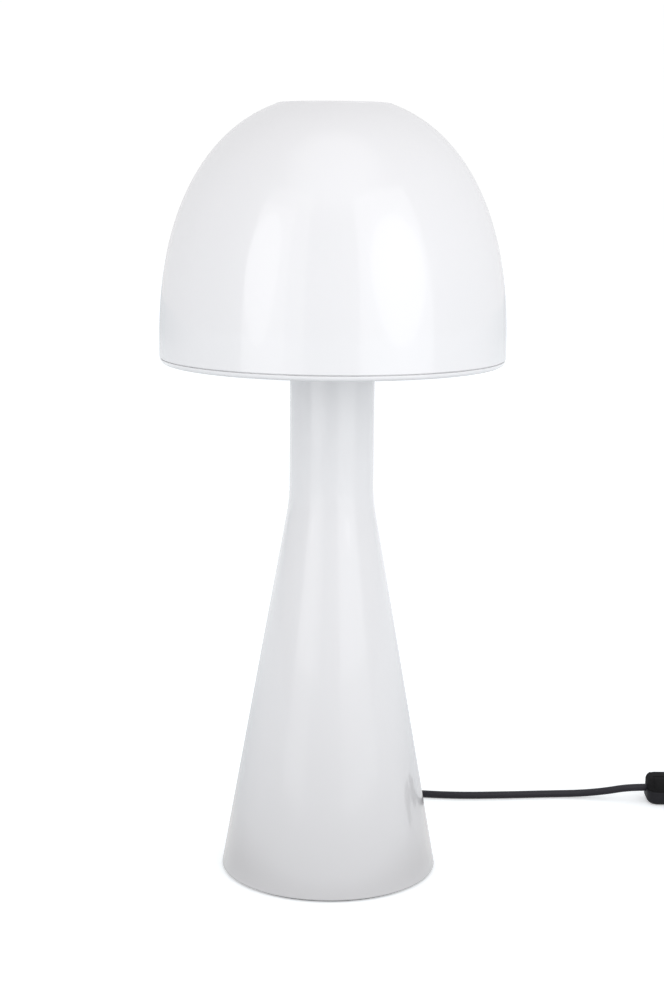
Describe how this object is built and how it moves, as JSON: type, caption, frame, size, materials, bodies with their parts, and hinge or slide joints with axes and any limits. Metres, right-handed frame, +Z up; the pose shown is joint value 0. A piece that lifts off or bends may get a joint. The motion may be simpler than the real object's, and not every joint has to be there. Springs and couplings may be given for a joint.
{
  "type": "table lamp",
  "caption": "Mushroom table lamp: a spun dome shade resting over a conical stand, with a screw-in bulb and a mains cord with an in-line rocker switch.",
  "frame": {"origin": "on the lamp's axis, at the underside of its foot", "axes": "+Z is up along the stand, +Y points to the back, where the cord leaves, and +X to the viewer's right"},
  "size_m": [0.5702, 0.2898, 0.5657],
  "materials": {
    "gloss_white": "glossy white paint",
    "weight_iron": "black-painted casting",
    "felt": "dark felt",
    "zinc_steel": "zinc-plated",
    "button_rubber": "pale matte rubber",
    "black_rubber": "matte moulded rubber",
    "cord_black": "satin sheath",
    "core_brown": "core insulation",
    "holder_white": "moulded, satin",
    "holder_ceramic": "unglazed",
    "brass": "stamped sheet",
    "screw_steel": "plated",
    "opal": "opal, satin",
    "housing_white": "moulded, semi-gloss",
    "board_aluminium": "coated board",
    "cap_nickel": "nickel-plated",
    "insulator_black": "glossy",
    "switch_black": "fine moulded texture",
    "rocker_black": "satin"
  },
  "bodies": {
    "stand": {"stand_shell": "gloss_white", "base_weight": "weight_iron", "foot_pad": "felt", "tie_tube": "zinc_steel", "lower_washer": "zinc_steel", "lower_nut": "zinc_steel", "shade_carrier": "gloss_white", "carrier_buttons": "button_rubber", "upper_washer": "zinc_steel", "upper_nut": "zinc_steel", "cord_gland": "black_rubber", "inner_lead": "cord_black", "lead_cores": "core_brown", "holder_cap": "holder_white", "holder_sleeve": "holder_white", "holder_core": "holder_ceramic", "holder_thread": "brass", "centre_contact": "brass", "terminal_screws": "screw_steel", "cord_lead": "cord_black", "switch_base": "switch_black", "switch_cover": "switch_black", "rocker_pin": "screw_steel", "switch_contacts": "brass", "switch_cores": "core_brown", "switch_screws": "screw_steel", "cord_tail": "cord_black", "cord_coil": "cord_black", "cord_end": "cord_black", "cord_tie": "black_rubber", "plug_body": "switch_black", "plug_pins": "cap_nickel", "plug_sleeves": "cord_black"},
    "shade": {"shade_dome": "gloss_white", "shade_rim_ring": "gloss_white"},
    "bulb": {"bulb_globe": "opal", "bulb_housing": "housing_white", "led_board": "board_aluminium", "bulb_cap": "cap_nickel", "bulb_insulator": "insulator_black", "bulb_tip": "cap_nickel"},
    "rocker": {"switch_rocker": "rocker_black", "rocker_contact": "brass"}
  },
  "joints": [
    {"name": "shade_lift", "type": "slide", "parent": "stand", "child": "shade", "axis": [0, 0, 1], "range_m": [0, 0.16]},
    {"name": "bulb_turn", "type": "hinge", "parent": "stand", "child": "bulb", "pos_m": [0, 0, 0.44], "axis": [0, 0, 1], "range_deg": [0, 1440]},
    {"name": "rocker_tip", "type": "hinge", "parent": "stand", "child": "rocker", "pos_m": [0.303, 0.1498, 0.0165], "axis": [0, 1, 0], "range_deg": [0, 14]}
  ]
}
